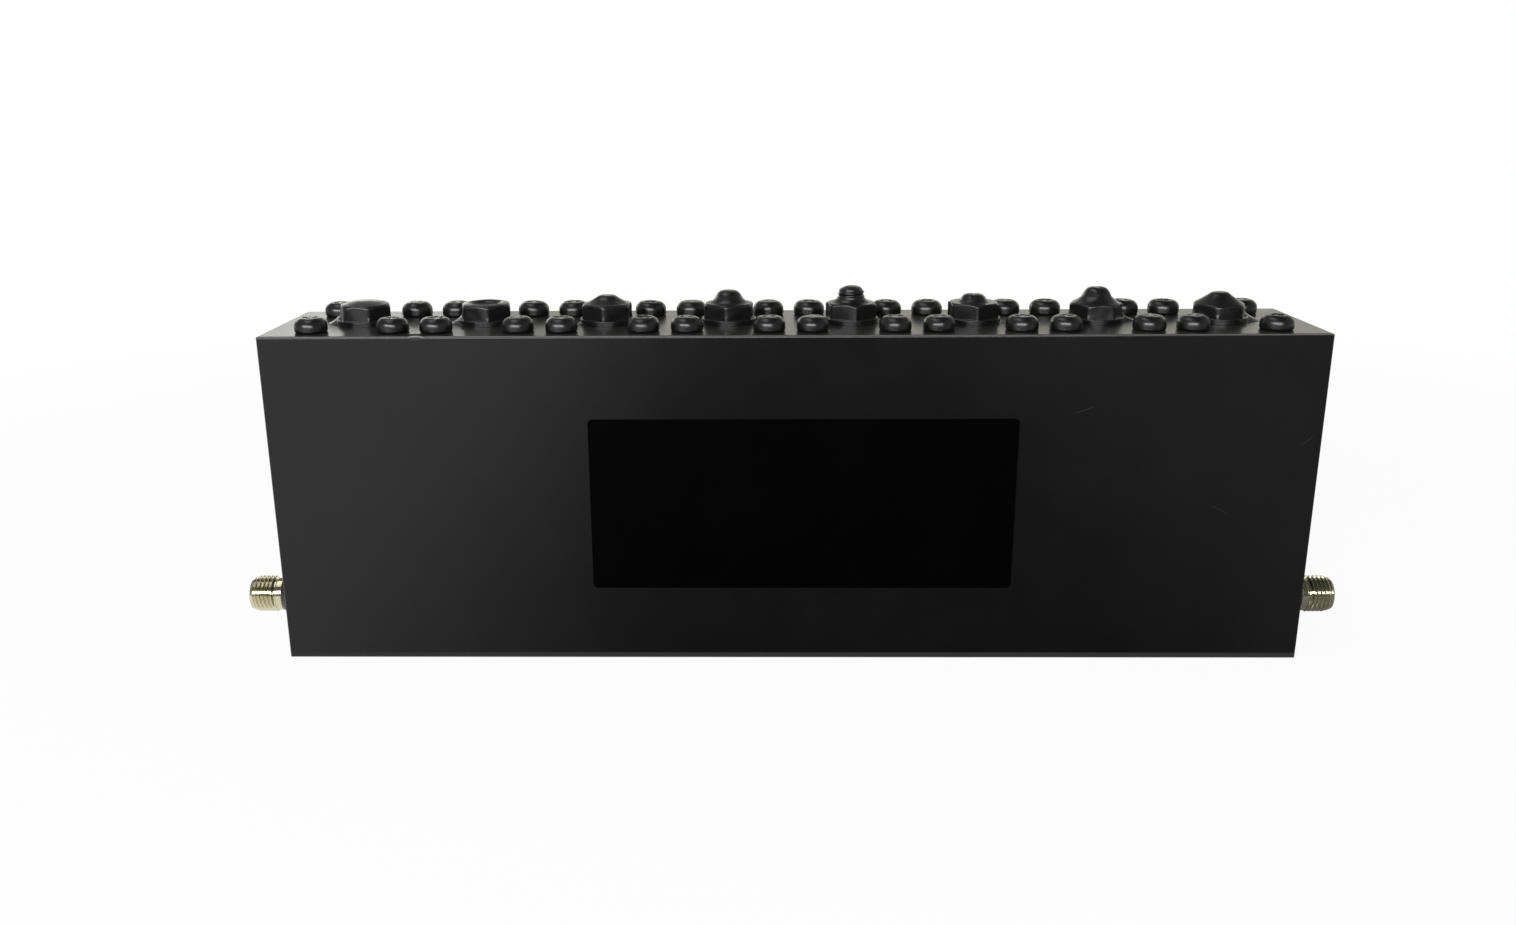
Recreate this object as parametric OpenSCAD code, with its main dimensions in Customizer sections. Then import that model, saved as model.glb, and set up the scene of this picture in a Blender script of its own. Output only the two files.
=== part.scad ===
// Cavity filter: a notch filter in a milled block. A line runs from jack to jack under a row
// of eight tuned cavities, and a screwed cover carries a tuning screw and lock nut for each.
// The origin is the centre of the underside. +X runs along the row of cavities,
// the front with the label faces -Y, and +Z is up. All lengths are in millimetres.

/* [Cavities] */
// Distance between the axes of neighbouring cavities
cavity_pitch = 20.3; // [19.5:0.1:24]
// Bore of each cavity
cavity_d = 16; // [14:0.1:17]
// Depth of each cavity, from the cover to the floor
cavity_depth = 39; // [34:0.5:50]

/* [Walls] */
// Thickness of the floor under the cavities, which carries the line
floor_t = 13.4; // [12.5:0.1:18]
// Thickness of each end wall where the cavity comes closest
end_wall = 6.2; // [5:0.05:9]
// Thickness of the front and back walls where a cavity comes closest
side_wall = 4.5; // [4:0.1:7]
// Thickness of the cover
cover_t = 3; // [2:0.1:5]
// Radius of the box's outer edges
edge_r = 0.4; // [0.2:0.05:1]

/* [Cover screws] */
// Metal left between a cavity and a cover screw's hole
screw_wall = 0.85; // [0.5:0.05:1.5]
// Direction of a cover screw from the axis of its cavity, in degrees from +X
screw_angle = 50.3; // [46:0.1:55]
// Diameter of a cover screw's thread
screw_d = 3; // [2.5:0.1:3.2]
// Length of a cover screw under its head
screw_l = 8; // [6:0.5:12]
// Diameter of a cover screw's head
screw_head_d = 5.3; // [4.8:0.1:5.9]
// Height of a cover screw's head
screw_head_h = 2.4; // [1.8:0.1:3]
// Radius of the rounded upper rim of a cover screw's head
screw_head_r = 1.4; // [0.4:0.1:1.6]
// Radius of the rounded lower rim of a cover screw's head
screw_foot_r = 0.35; // [0.1:0.05:0.5]
// Length of each arm of the cross recess, from tip to tip
recess_l = 2.6; // [2:0.1:3.2]
// Width of each arm of the cross recess
recess_w = 0.6; // [0.4:0.05:0.9]
// Depth of the cross recess
recess_depth = 1.2; // [0.6:0.1:1.6]
// Depth of a tapped hole past the end of its screw
tap_spare = 1.5; // [0.5:0.1:3]

/* [Tuning screws] */
// Diameter of a tuning screw's thread
tuner_d = 4; // [3:0.1:5]
// Length of a tuning screw
tuner_l = 20; // [18:0.5:24]
// Radius of the domed tip of a tuning screw
tuner_dome_r = 2.9; // [2.6:0.1:6]
// Width of the slot in a tuning screw's tip
tuner_slot_w = 0.8; // [0.5:0.05:1.2]
// Depth of the slot in a tuning screw's tip
tuner_slot_depth = 1; // [0.5:0.1:1.6]
// Height of each tuning screw's tip above its nut, from the left
tuner_tips = [0, -0.5, 1.05, 1.85, 2.6, 1.2, 2.25, 1.15]; // [-1:0.05:4]
// Direction of each tuning screw's slot in degrees from +X, from the left
tuner_turns = [20, 65, 75, 110, 150, 80, 10, 50]; // [0:1:180]

/* [Lock nuts] */
// Width of a lock nut across its flats
nut_af = 7.6; // [6.5:0.1:8]
// Height of a lock nut
nut_h = 2.5; // [2:0.1:3.5]
// Angle of the chamfer on a lock nut's upper corners
nut_chamfer = 30; // [20:1:40]
// Turn of each lock nut in degrees, where 0 has a flat towards the front, from the left
nut_turns = [53, 44, 27, 25, 38, 32, 0, 10]; // [0:1:60]
// Diameter of the flat washer under a lock nut
washer_d = 9; // [8.6:0.1:10]
// Thickness of the flat washer under a lock nut
washer_t = 0.8; // [0.4:0.1:1.2]

/* [Thread sealant] */
// Height of each sealant tent above its nut, from the left, where 0 has no sealant
sealant_rise = [0.45, 0, 1, 0.7, 0.85, 0, 1.1, 1.1]; // [0:0.05:3]
// How far the sealant spreads past the screw's thread, on each nut from the left
sealant_spread = [1.6, 0, 1.6, 1.7, 1.5, 0, 1.7, 2.5]; // [0:0.1:3]
// How far each tent's top reaches past the screw's thread, below 0 where it closes over the tip
sealant_lip = [0, 0, -0.7, 0.2, 0.2, 0, 0.2, -0.7]; // [-1:0.05:0.4]
// Hollow of the tent's flank, from the left, where 0 is a straight cone
sealant_hollow = [0, 0, 0.1, 0.25, 0.25, 0, 0.15, 0]; // [0:0.05:0.6]
// How far the sealant runs down past the top of each nut, from the left
sealant_drop = [0, 0, 0, 0, 0, 0, 0, 2.2]; // [0:0.1:2.4]
// How far below the nut's top a tent that runs down starts to slope
sealant_brim = 0.2; // [0.1:0.05:0.25]
// Thickness of a tent at its outer edge
sealant_edge = 0.05; // [0.04:0.01:0.15]

/* [Resonators] */
// Gap between a resonator's open end and the cover
rod_gap = 6; // [4:0.1:9]
// Wall of a resonator's hollow top
rod_wall = 0.7; // [0.5:0.05:1.5]
// Gap all round between a tuning screw and a resonator's hollow top
tuner_gap = 0.5; // [0.3:0.05:1]
// Depth of a resonator's hollow top past the deepest tuning screw
rod_bore_spare = 3.5; // [1:0.1:8]
// Diameter of the stud that holds a resonator in the floor
stud_d = 3; // [2:0.1:4]
// Length of the stud that holds a resonator in the floor
stud_l = 2.2; // [1.5:0.1:2.6]

/* [Through line] */
// Bore of the channel that carries the line under the cavities
line_bore_d = 6; // [5:0.1:6.2]
// Diameter of the line
line_d = 2.6; // [2.2:0.1:3]
// Gap between a jack's shank and the end of the line
line_gap = 0.5; // [0.3:0.05:1]
// Depth to which each contact's tail is seated in the line
line_joint = 3; // [2:0.1:5]
// Diameter of the probe that couples the line to a cavity
probe_d = 1.2; // [0.8:0.1:1.4]
// Height of a probe's end above the cavity floor
probe_rise = 8; // [4:0.5:14]
// Depth to which a probe is seated in the line
probe_seat = 1; // [0.6:0.1:1.2]
// Distance of a probe from the axis of its cavity, towards the middle of the box
probe_off = 5.6; // [5.2:0.1:5.8]
// Bore of the hole in the floor that a probe passes through
probe_hole_d = 3.6; // [2.6:0.1:3.8]

/* [Jacks] */
// Height of the jacks' axis above the underside
jack_z = 6.8; // [5.5:0.1:12]
// Outer diameter of a jack's coupling thread
jack_thread_d = 6.35; // [6:0.05:7]
// Length of the plain, chamfered lead at a jack's mouth
jack_lead_l = 1.25; // [0.6:0.05:1.6]
// Length of a jack's coupling thread
jack_thread_l = 2.95; // [2:0.05:8]
// Length of the relief groove behind the coupling thread
jack_groove_l = 0.3; // [0.15:0.05:1]
// Depth of the relief groove and of the chamfer at the mouth
jack_groove_depth = 0.4; // [0.2:0.05:0.6]
// Length of the plain collar behind the groove
jack_collar_l = 1.1; // [0.6:0.1:3]
// Diameter of the plain collar behind the groove
jack_collar_d = 6; // [5.6:0.05:6]
// Width of a jack's hexagon across its flats
jack_hex_af = 7; // [6.6:0.1:9]
// Length of a jack's hexagon
jack_hex_l = 4.4; // [2:0.05:8]
// Length of the cone that leads from the collar to the hexagon
jack_cone_l = 1.6; // [0.5:0.1:1.8]
// Diameter of the shank that screws into the end wall
jack_shank_d = 6.35; // [5.5:0.05:7]
// Length of the shank that screws into the end wall
jack_shank_l = 5.5; // [4:0.1:8]
// Bore of a jack's mouth
jack_mouth_d = 4.6; // [4.4:0.05:5]
// Depth of a jack's mouth
jack_mouth_depth = 1.9; // [1:0.1:2.8]
// Diameter of the dielectric
dielectric_d = 4.1; // [3.6:0.05:4.3]
// Diameter of the centre contact
contact_d = 1.27; // [1:0.01:1.6]
// Bore of the centre contact's socket
contact_bore_d = 0.94; // [0.8:0.01:0.96]
// Depth of the centre contact's socket
contact_bore_depth = 3; // [2:0.1:5]

/* [Label and mounting] */
// Width of the bare label on the front
label_w = 69.5; // [40:0.5:90]
// Height of the bare label on the front
label_h = 29; // [15:0.5:38]
// Thickness of the label
label_t = 0.1; // [0.05:0.05:0.3]
// Offset of the label's centre to the right of the middle
label_x = 1.9; // [-10:0.1:10]
// Height of the label's centre above the underside
label_z = 27.3; // [20:0.1:30]
// Radius of the label's corners
label_r = 0.8; // [0.2:0.1:4]
// Bore of the tapped mounting holes in the underside
foot_hole_d = 2.5; // [2:0.1:4]
// Depth of the mounting holes
foot_hole_depth = 6; // [4:0.5:12]
// Distance between the two rows of mounting holes
foot_hole_dy = 16; // [12:0.5:18]

/* [Fits] */
// Gap all round between a thread and its tapped hole
thread_gap = 0.05; // [0.02:0.01:0.15]
// Gap all round a screw in the cover
cover_hole_gap = 0.2; // [0.1:0.05:0.3]
// Gap all round a pressed or soldered pin
pin_gap = 0.03; // [0.02:0.01:0.1]

/* [Hidden] */
$fn = 48;
// Facets of a circle of which only a short arc is used
arc_fn = 720;
// Excess that carries a cut through a face
eps = 0.5;

// The eight cavities, numbered from the left
cavity_count = 8;
cavities = [1 : cavity_count];
function cavity_x(n) = (n - (cavity_count + 1) / 2) * cavity_pitch;

// Outside of the box
box_w = (cavity_count - 1) * cavity_pitch + cavity_d + 2 * end_wall;
box_d = cavity_d + 2 * side_wall;
seam_z = floor_t + cavity_depth;
box_h = seam_z + cover_t;

// Cover screws, four round each cavity
screw_hole_d = screw_d + 2 * thread_gap;
screw_reach = cavity_d / 2 + screw_wall + screw_hole_d / 2;
screw_dx = screw_reach * cos(screw_angle);
screw_dy = screw_reach * sin(screw_angle);
screw_places = [for (n = cavities, sx = [-1, 1], sy = [-1, 1]) [cavity_x(n) + sx * screw_dx, sy * screw_dy]];
screw_hole_depth = screw_l - cover_t + tap_spare;

// Tuning screws and their nuts
nut_z = box_h + washer_t;
nut_top_z = nut_z + nut_h;
nut_corner_r = nut_af / 2 / cos(30);
nut_hole_d = tuner_d + 2 * thread_gap;
function tip_z(n) = nut_top_z + tuner_tips[n - 1];

// Resonators
rod_bore_d = tuner_d + 2 * tuner_gap;
rod_d = rod_bore_d + 2 * rod_wall;
rod_top_z = seam_z - rod_gap;
tuner_low_z = nut_top_z + min(tuner_tips) - tuner_l;
rod_bore_depth = rod_top_z - tuner_low_z + rod_bore_spare;

// Jacks, measured outwards from the end wall
jack_collar_out = jack_hex_l + jack_collar_l;
jack_groove_out = jack_collar_out + jack_groove_l;
jack_thread_out = jack_groove_out + jack_thread_l;
jack_out = jack_thread_out + jack_lead_l;
jack_hole_l = jack_shank_l + line_gap;
jack_groove_d = jack_thread_d - 2 * jack_groove_depth;

// Through line, from jack to jack
line_l = box_w - 2 * jack_hole_l;
tail_in = jack_hole_l + line_joint - pin_gap;
probe_z = jack_z + line_d / 2 - probe_seat;
function probe_x(n) = cavity_x(n) - sign(cavity_x(n)) * probe_off;

// Mounting holes, in the webs beside the outermost cavities
foot_hole_dx = (cavity_count - 2) * cavity_pitch;

// Colours
paint_black = [0.09, 0.09, 0.09];
label_black = [0.05, 0.05, 0.05];
nickel = [0.66, 0.64, 0.55];
silver = [0.82, 0.81, 0.78];
gold = [0.83, 0.67, 0.3];
white_plastic = [0.93, 0.93, 0.9];

// Flat shapes

// A rectangle about the origin with true arcs at its corners
module rounded_rectangle(w, h, r) {
    square([w - 2 * r, h], center = true);
    square([w, h - 2 * r], center = true);
    for (sx = [-1, 1], sy = [-1, 1])
        translate([sx * (w / 2 - r), sy * (h / 2 - r)]) circle(r);
}

// Half the profile of a tent: an upright edge at its foot (r0, z0), then a slope to its top (r1, z1)
// that is hollowed by a true arc
module tent_profile(r0, z0, r1, z1, edge, hollow) {
    low = z0 + edge;
    chord = norm([r1 - r0, z1 - low]);
    difference() {
        polygon([[0, z0], [r0, z0], [r0, low], [r1, z1], [0, z1]]);
        if (hollow > 0) {
            arc_r = (chord * chord / 4 + hollow * hollow) / (2 * hollow);
            across = (arc_r - hollow) / chord;
            translate([(r0 + r1) / 2 + (z1 - low) * across, (low + z1) / 2 - (r1 - r0) * across])
                circle(arc_r, $fn = arc_fn);
        }
    }
}

// A low dome's half profile, of the given foot radius and height
module dome_profile(foot_r, rise) {
    dome_r = (foot_r * foot_r + rise * rise) / (2 * rise);
    intersection() {
        translate([0, rise - dome_r]) circle(dome_r, $fn = arc_fn);
        square([foot_r, rise]);
    }
}

// Solid shapes

// The outside of the whole box, with every edge rounded
module box_form() {
    intersection() {
        linear_extrude(box_h) rounded_rectangle(box_w, box_d, edge_r);
        translate([0, box_d, box_h / 2]) rotate([90, 0, 0])
            linear_extrude(2 * box_d) rounded_rectangle(box_w, box_h, edge_r);
        translate([-box_w, 0, box_h / 2]) rotate([90, 0, 90])
            linear_extrude(2 * box_w) rounded_rectangle(box_d, box_h, edge_r);
    }
}

// A slab as large as the box from one height to another
module level(z0, z1) {
    translate([-box_w, -box_d, z0]) cube([2 * box_w, 2 * box_d, z1 - z0]);
}

// A round cut or pin that rises from a point
module upright(x, y, z, d, h) {
    translate([x, y, z]) cylinder(d = d, h = h);
}

// Turns what is drawn along +Z to point out of one end, from the end wall's outer face
module at_end(side) {
    translate([side * box_w / 2, 0, jack_z]) rotate([0, side * 90, 0]) children();
}

// Turns what is drawn along +Z, over the given length, to lie in the middle of the jacks' axis
module along_line(l) {
    translate([-l / 2, 0, jack_z]) rotate([0, 90, 0]) children();
}

// One lock nut about its own axis, standing on z = 0, without its hole
module nut_form() {
    slope = tan(nut_chamfer);
    intersection() {
        cylinder(r = nut_corner_r, h = nut_h, $fn = 6);
        cylinder(r1 = nut_af / 2 + nut_h / slope, r2 = nut_af / 2, h = nut_h);
    }
}

// A tuning screw with its tip at z = 0, without its slot, or its hole where gap is above 0
module tuner_form(gap) {
    rod_r = tuner_d / 2 + gap;
    intersection() {
        translate([0, 0, -tuner_l]) cylinder(r = rod_r, h = tuner_l + eps);
        union() {
            translate([0, 0, -tuner_dome_r]) sphere(tuner_dome_r + gap);
            translate([0, 0, -tuner_l]) cylinder(r = rod_r, h = tuner_l - tuner_dome_r);
        }
    }
}

// Half the profile of a pan head: a cushion with a rounded upper and lower rim
module pan_head_profile() {
    head_r = screw_head_d / 2;
    intersection() {
        union() {
            square([head_r - screw_head_r, screw_head_h]);
            square([head_r - screw_foot_r, screw_head_h - screw_head_r]);
            translate([0, screw_foot_r]) square([head_r, screw_head_h - screw_head_r - screw_foot_r]);
            translate([head_r - screw_head_r, screw_head_h - screw_head_r]) circle(screw_head_r);
            translate([head_r - screw_foot_r, screw_foot_r]) circle(screw_foot_r);
        }
        square([head_r, screw_head_h]);
    }
}

// One pan-head screw about its own axis, with the underside of its head at z = 0
module pan_screw() {
    translate([0, 0, -screw_l]) cylinder(d = screw_d, h = screw_l + eps);
    difference() {
        rotate_extrude() pan_head_profile();
        for (turn = [0, 90])
            rotate(turn) translate([-recess_l / 2, -recess_w / 2, screw_head_h - recess_depth])
                cube([recess_l, recess_w, recess_depth + eps]);
    }
}

// Box

// The milled block: eight bored cavities, the channel under them and every tapped hole
module housing() {
    color(paint_black)
    difference() {
        intersection() {
            box_form();
            level(-eps, seam_z);
        }
        for (n = cavities)
            upright(cavity_x(n), 0, floor_t, cavity_d, cavity_depth + eps);
        for (n = cavities)
            upright(cavity_x(n), 0, floor_t - stud_l - thread_gap, stud_d + 2 * thread_gap, stud_l + eps);
        for (n = cavities)
            upright(probe_x(n), 0, jack_z, probe_hole_d, floor_t - jack_z + eps);
        along_line(box_w + 2 * eps) cylinder(d = line_bore_d, h = box_w + 2 * eps);
        for (p = screw_places)
            upright(p[0], p[1], seam_z - screw_hole_depth, screw_hole_d, screw_hole_depth + eps);
        for (side = [-1, 1])
            at_end(side) translate([0, 0, -jack_hole_l])
                cylinder(d = jack_shank_d + 2 * thread_gap, h = jack_hole_l + eps);
        for (sx = [-1, 1], sy = [-1, 1])
            upright(sx * foot_hole_dx / 2, sy * foot_hole_dy / 2, -eps, foot_hole_d, foot_hole_depth + eps);
    }
}

// The cover plate, with a plain hole for each cover screw and a tapped one for each tuning screw
module cover() {
    color(paint_black)
    difference() {
        intersection() {
            box_form();
            level(seam_z, box_h + eps);
        }
        for (p = screw_places)
            upright(p[0], p[1], seam_z - eps, screw_d + 2 * cover_hole_gap, cover_t + 2 * eps);
        for (n = cavities)
            upright(cavity_x(n), 0, seam_z - eps, nut_hole_d, cover_t + 2 * eps);
    }
}

module cover_screws() {
    color(paint_black)
    for (p = screw_places)
        translate([p[0], p[1], box_h]) pan_screw();
}

// The bare label on the front face
module label() {
    color(label_black)
    translate([label_x, -box_d / 2, label_z]) rotate([90, 0, 0])
        linear_extrude(label_t) rounded_rectangle(label_w, label_h, label_r);
}

// Tuning stations, numbered from the left

// A threaded rod with a domed, slotted tip
module tuning_screw(n) {
    color(paint_black)
    translate([cavity_x(n), 0, tip_z(n)])
    difference() {
        tuner_form(0);
        rotate(tuner_turns[n - 1]) translate([-tuner_d, -tuner_slot_w / 2, -tuner_slot_depth])
            cube([2 * tuner_d, tuner_slot_w, tuner_slot_depth + eps]);
    }
}

module lock_nut(n) {
    color(paint_black)
    translate([cavity_x(n), 0, nut_z])
    difference() {
        rotate(nut_turns[n - 1]) nut_form();
        translate([0, 0, -eps]) cylinder(d = nut_hole_d, h = nut_h + 2 * eps);
    }
}

module nut_washers() {
    color(paint_black)
    for (n = cavities)
        translate([cavity_x(n), 0, box_h])
        difference() {
            cylinder(d = washer_d, h = washer_t);
            translate([0, 0, -eps]) cylinder(d = nut_hole_d, h = washer_t + 2 * eps);
        }
}

// Lacquer that locks a nut: a tent from the nut's top to the screw's tip, or a dome where
// the screw is no higher than the nut, with a skirt down the nut's sides where it has run
module sealant(n) {
    rise = sealant_rise[n - 1];
    drop = sealant_drop[n - 1];
    brim = drop > 0 ? sealant_brim : 0;
    foot_r = tuner_d / 2 + sealant_spread[n - 1];
    top_r = tuner_d / 2 + sealant_lip[n - 1];
    color(paint_black)
    translate([cavity_x(n), 0, nut_top_z])
    difference() {
        rotate_extrude() {
            if (tuner_tips[n - 1] > 0)
                tent_profile(foot_r, -brim, top_r, rise, sealant_edge, sealant_hollow[n - 1]);
            else
                dome_profile(foot_r, rise);
            if (drop > 0)
                translate([0, -drop]) square([foot_r, drop - brim]);
        }
        translate([0, 0, -nut_h]) rotate(nut_turns[n - 1]) nut_form();
        translate([0, 0, tuner_tips[n - 1]]) tuner_form(thread_gap);
    }
}

// Resonators, each with a stud in the floor and a hollow top round its tuning screw
module resonator(n) {
    color(silver)
    difference() {
        union() {
            upright(cavity_x(n), 0, floor_t, rod_d, rod_top_z - floor_t);
            upright(cavity_x(n), 0, floor_t - stud_l, stud_d, stud_l + eps);
        }
        upright(cavity_x(n), 0, rod_top_z - rod_bore_depth, rod_bore_d, rod_bore_depth + eps);
    }
}

// The line that runs from jack to jack, with a seat for each contact's tail and each probe
module through_line() {
    color(silver)
    difference() {
        along_line(line_l) cylinder(d = line_d, h = line_l);
        for (side = [-1, 1])
            at_end(side) translate([0, 0, -jack_hole_l - line_joint])
                cylinder(d = contact_d + 2 * pin_gap, h = line_joint + eps);
        for (n = cavities)
            upright(probe_x(n), 0, probe_z - pin_gap, probe_d + 2 * pin_gap, line_d);
    }
}

// A probe from the line up into each cavity, beside its resonator
module coupling_probes() {
    color(silver)
    for (n = cavities)
        upright(probe_x(n), 0, probe_z, probe_d, floor_t + probe_rise - probe_z);
}

// Jacks

// A turned shell: shank in the end wall, hexagon, collar, groove, coupling thread and mouth
module jack_shell(side) {
    color(nickel)
    at_end(side)
    difference() {
        union() {
            translate([0, 0, -jack_shank_l]) cylinder(d = jack_shank_d, h = jack_shank_l + eps);
            intersection() {
                rotate(30) cylinder(r = jack_hex_af / 2 / cos(30), h = jack_hex_l, $fn = 6);
                union() {
                    cylinder(d = 2 * jack_hex_af, h = jack_hex_l - jack_cone_l);
                    translate([0, 0, jack_hex_l - jack_cone_l])
                        cylinder(r1 = jack_hex_af / 2 / cos(30), r2 = jack_collar_d / 2, h = jack_cone_l);
                }
            }
            cylinder(d = jack_collar_d, h = jack_collar_out);
            cylinder(d = jack_groove_d, h = jack_groove_out + eps);
            translate([0, 0, jack_groove_out]) cylinder(d = jack_thread_d, h = jack_thread_l);
            translate([0, 0, jack_thread_out])
                cylinder(d1 = jack_thread_d, d2 = jack_groove_d, h = jack_lead_l);
        }
        translate([0, 0, -jack_shank_l - eps])
            cylinder(d = dielectric_d + 2 * pin_gap, h = jack_out + jack_shank_l + 2 * eps);
        translate([0, 0, jack_out - jack_mouth_depth])
            cylinder(d = jack_mouth_d, h = jack_mouth_depth + eps);
    }
}

// The plastic sleeve between the shell and the contact
module jack_dielectric(side) {
    color(white_plastic)
    at_end(side) translate([0, 0, -jack_shank_l])
    difference() {
        cylinder(d = dielectric_d, h = jack_shank_l + jack_out - jack_mouth_depth);
        translate([0, 0, -eps])
            cylinder(d = contact_d + 2 * pin_gap, h = jack_shank_l + jack_out);
    }
}

// The centre contact: a socket at the mouth, and a tail that is seated in the line
module jack_contact(side) {
    color(gold)
    at_end(side)
    difference() {
        translate([0, 0, -tail_in]) cylinder(d = contact_d, h = tail_in + jack_out - jack_mouth_depth);
        translate([0, 0, jack_out - jack_mouth_depth - contact_bore_depth])
            cylinder(d = contact_bore_d, h = contact_bore_depth + eps);
    }
}

housing();
cover();
cover_screws();
nut_washers();
label();
for (n = cavities) {
    tuning_screw(n);
    lock_nut(n);
    resonator(n);
    if (sealant_rise[n - 1] > 0)
        sealant(n);
}
jack_shell(-1);  // left_jack_shell
jack_dielectric(-1);  // left_jack_dielectric
jack_contact(-1);  // left_jack_contact
jack_shell(1);  // right_jack_shell
jack_dielectric(1);  // right_jack_dielectric
jack_contact(1);  // right_jack_contact
through_line();
coupling_probes();
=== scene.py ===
"""The cavity filter's looks: painted nuts and screws, turned jacks, finishes, studio and camera."""
import math

import bpy
import numpy as np
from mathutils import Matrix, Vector


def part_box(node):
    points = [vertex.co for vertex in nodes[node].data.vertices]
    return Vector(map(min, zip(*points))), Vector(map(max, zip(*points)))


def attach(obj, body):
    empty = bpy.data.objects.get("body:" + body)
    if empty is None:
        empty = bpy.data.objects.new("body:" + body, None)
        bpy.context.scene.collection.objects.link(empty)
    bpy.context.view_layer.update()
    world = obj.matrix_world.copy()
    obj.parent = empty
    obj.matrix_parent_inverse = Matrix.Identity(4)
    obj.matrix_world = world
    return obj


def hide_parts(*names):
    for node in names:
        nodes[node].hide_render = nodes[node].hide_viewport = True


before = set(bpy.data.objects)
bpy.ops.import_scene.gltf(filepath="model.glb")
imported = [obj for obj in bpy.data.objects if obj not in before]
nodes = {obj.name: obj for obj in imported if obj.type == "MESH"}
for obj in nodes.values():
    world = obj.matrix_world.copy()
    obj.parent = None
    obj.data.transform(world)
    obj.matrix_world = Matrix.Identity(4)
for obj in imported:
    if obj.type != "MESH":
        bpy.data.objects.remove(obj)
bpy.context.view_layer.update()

MM = 0.001
STATIONS = range(1, 9)
SIDES = {"left": -1, "right": 1}
TUNING_PITCH = 0.7


# Sizes taken from the frame, in millimetres


def span(node):
    """Lowest and highest corner of a CAD node."""
    low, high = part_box(node)
    return np.array(low) / MM, np.array(high) / MM


def node_points(node):
    """Every vertex of a CAD node."""
    mesh = nodes[node].data
    flat = np.zeros(3 * len(mesh.vertices))
    mesh.vertices.foreach_get("co", flat)
    return flat.reshape(-1, 3) / MM


cover_low, cover_high = span("cover")
lid_z = cover_high[2]
front_y = cover_low[1]
end_x = cover_high[0]
washer_low, washer_high = span("nut_washers")
washer_r = (washer_high[1] - washer_low[1]) / 2
washer_z = washer_high[2] - lid_z


# Shader values, and the finishes whose nodes they stand for


class Value:
    """A shader socket that Python arithmetic extends with Math nodes."""

    def __init__(self, finish, socket):
        self.finish = finish
        self.socket = socket

    def math(self, operation, first, second):
        return self.finish.add("ShaderNodeMath", {"operation": operation}, {0: first, 1: second})

    def __add__(self, other):
        return self.math("ADD", self, other)

    def __sub__(self, other):
        return self.math("SUBTRACT", self, other)

    def __rsub__(self, other):
        return self.math("SUBTRACT", other, self)

    def __mul__(self, other):
        return self.math("MULTIPLY", self, other)

    def __truediv__(self, other):
        return self.math("DIVIDE", self, other)

    def __pow__(self, other):
        return self.math("POWER", self, other)

    __radd__ = __add__
    __rmul__ = __mul__


class Finish:
    """One material, or the world, while its nodes are laid out."""

    def __init__(self, owner, constants=()):
        owner.use_nodes = True
        self.owner = owner
        self.tree = owner.node_tree
        self.shader = self.tree.nodes.get("Principled BSDF")
        for socket, value in dict(constants).items():
            self.shader.inputs[socket].default_value = value

    def add(self, kind, settings, sockets, out=0):
        """Any node: its settings first, then the values or links of its sockets."""
        node = self.tree.nodes.new(kind)
        for name, value in settings.items():
            setattr(node, name, value)
        for socket, value in sockets.items():
            self.put(node.inputs[socket], value)
        return Value(self, node.outputs[out])

    def put(self, socket, value):
        if isinstance(value, Value):
            self.tree.links.new(value.socket, socket)
        else:
            socket.default_value = value

    def feed(self, **sockets):
        """Sets the shader's own sockets, with _ for the spaces in their names."""
        for name, value in sockets.items():
            self.put(self.shader.inputs[name.replace("_", " ")], value)

    def place(self):
        """Where a point lies in the part's frame, in millimetres."""
        spot = self.add("ShaderNodeTexCoord", {}, {}, "Object")
        return self.add("ShaderNodeVectorMath", {"operation": "SCALE"}, {0: spot, "Scale": 1 / MM})

    def along(self, place, axis):
        return self.add("ShaderNodeSeparateXYZ", {}, {0: place}, axis)

    def stretch(self, place, x, y, z):
        return self.add("ShaderNodeVectorMath", {"operation": "MULTIPLY"}, {0: place, 1: (x, y, z)})

    def noise(self, place, scale, detail=2.0, rough=0.5):
        return self.add("ShaderNodeTexNoise", {"noise_dimensions": "3D"},
                        {"Vector": place, "Scale": scale, "Detail": detail, "Roughness": rough})

    def step(self, value, start, end):
        """0 before start, 1 after end, smooth between."""
        return self.add("ShaderNodeMapRange", {"interpolation_type": "SMOOTHSTEP"},
                        {"Value": value, "From Min": start, "From Max": end})

    def blend(self, share, first, second):
        return self.add("ShaderNodeMix", {"data_type": "RGBA"}, {0: share, 6: first, 7: second}, 2)

    def relief(self, height, depth):
        """A bump whose full height is depth millimetres."""
        return self.add("ShaderNodeBump", {}, {"Strength": 1.0, "Distance": depth * MM, "Height": height})

    def cover_with(self, share, other):
        """Shows the other shader over this one's, by share."""
        own = Value(self, self.shader.outputs[0])
        mixed = self.add("ShaderNodeMixShader", {}, {0: share, 1: own, 2: other})
        self.put(self.tree.nodes["Material Output"].inputs["Surface"], mixed)


def new_finish(name, specular, roughness=0.5):
    return Finish(bpy.data.materials.new(name), {"Specular IOR Level": specular, "Roughness": roughness})


# Finishes


def grey(level):
    return (level, level, level, 1)


DEEP_ENAMEL, PALE_ENAMEL = (0.0026, 0.0028, 0.0025, 1), (0.0050, 0.0052, 0.0048, 1)
# The lighter top colour is painted light, and the pale edge colour is a painted highlight
TOP_PAINTED_LIGHT, SCUFFED, EDGE_HIGHLIGHT_GREY = (0.016, 0.016, 0.015, 1), (0.035, 0.035, 0.034, 1), (0.11, 0.11, 0.108, 1)
SPRAYED_HEXAGON, PAINTED_TIP = grey(0.0085), grey(0.008)
WHITE = grey(1)

# Where the painted highlight along the cover's front edge fades out, half the height of a scuff,
# and how far from the end faces the spray on the jacks stops, in millimetres
EDGE_FROM, EDGE_TO = 0.24, 0.28
SCUFF_HALF = 0.13
SPRAY_FROM, SPRAY_TO = 4.47, 4.67


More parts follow.
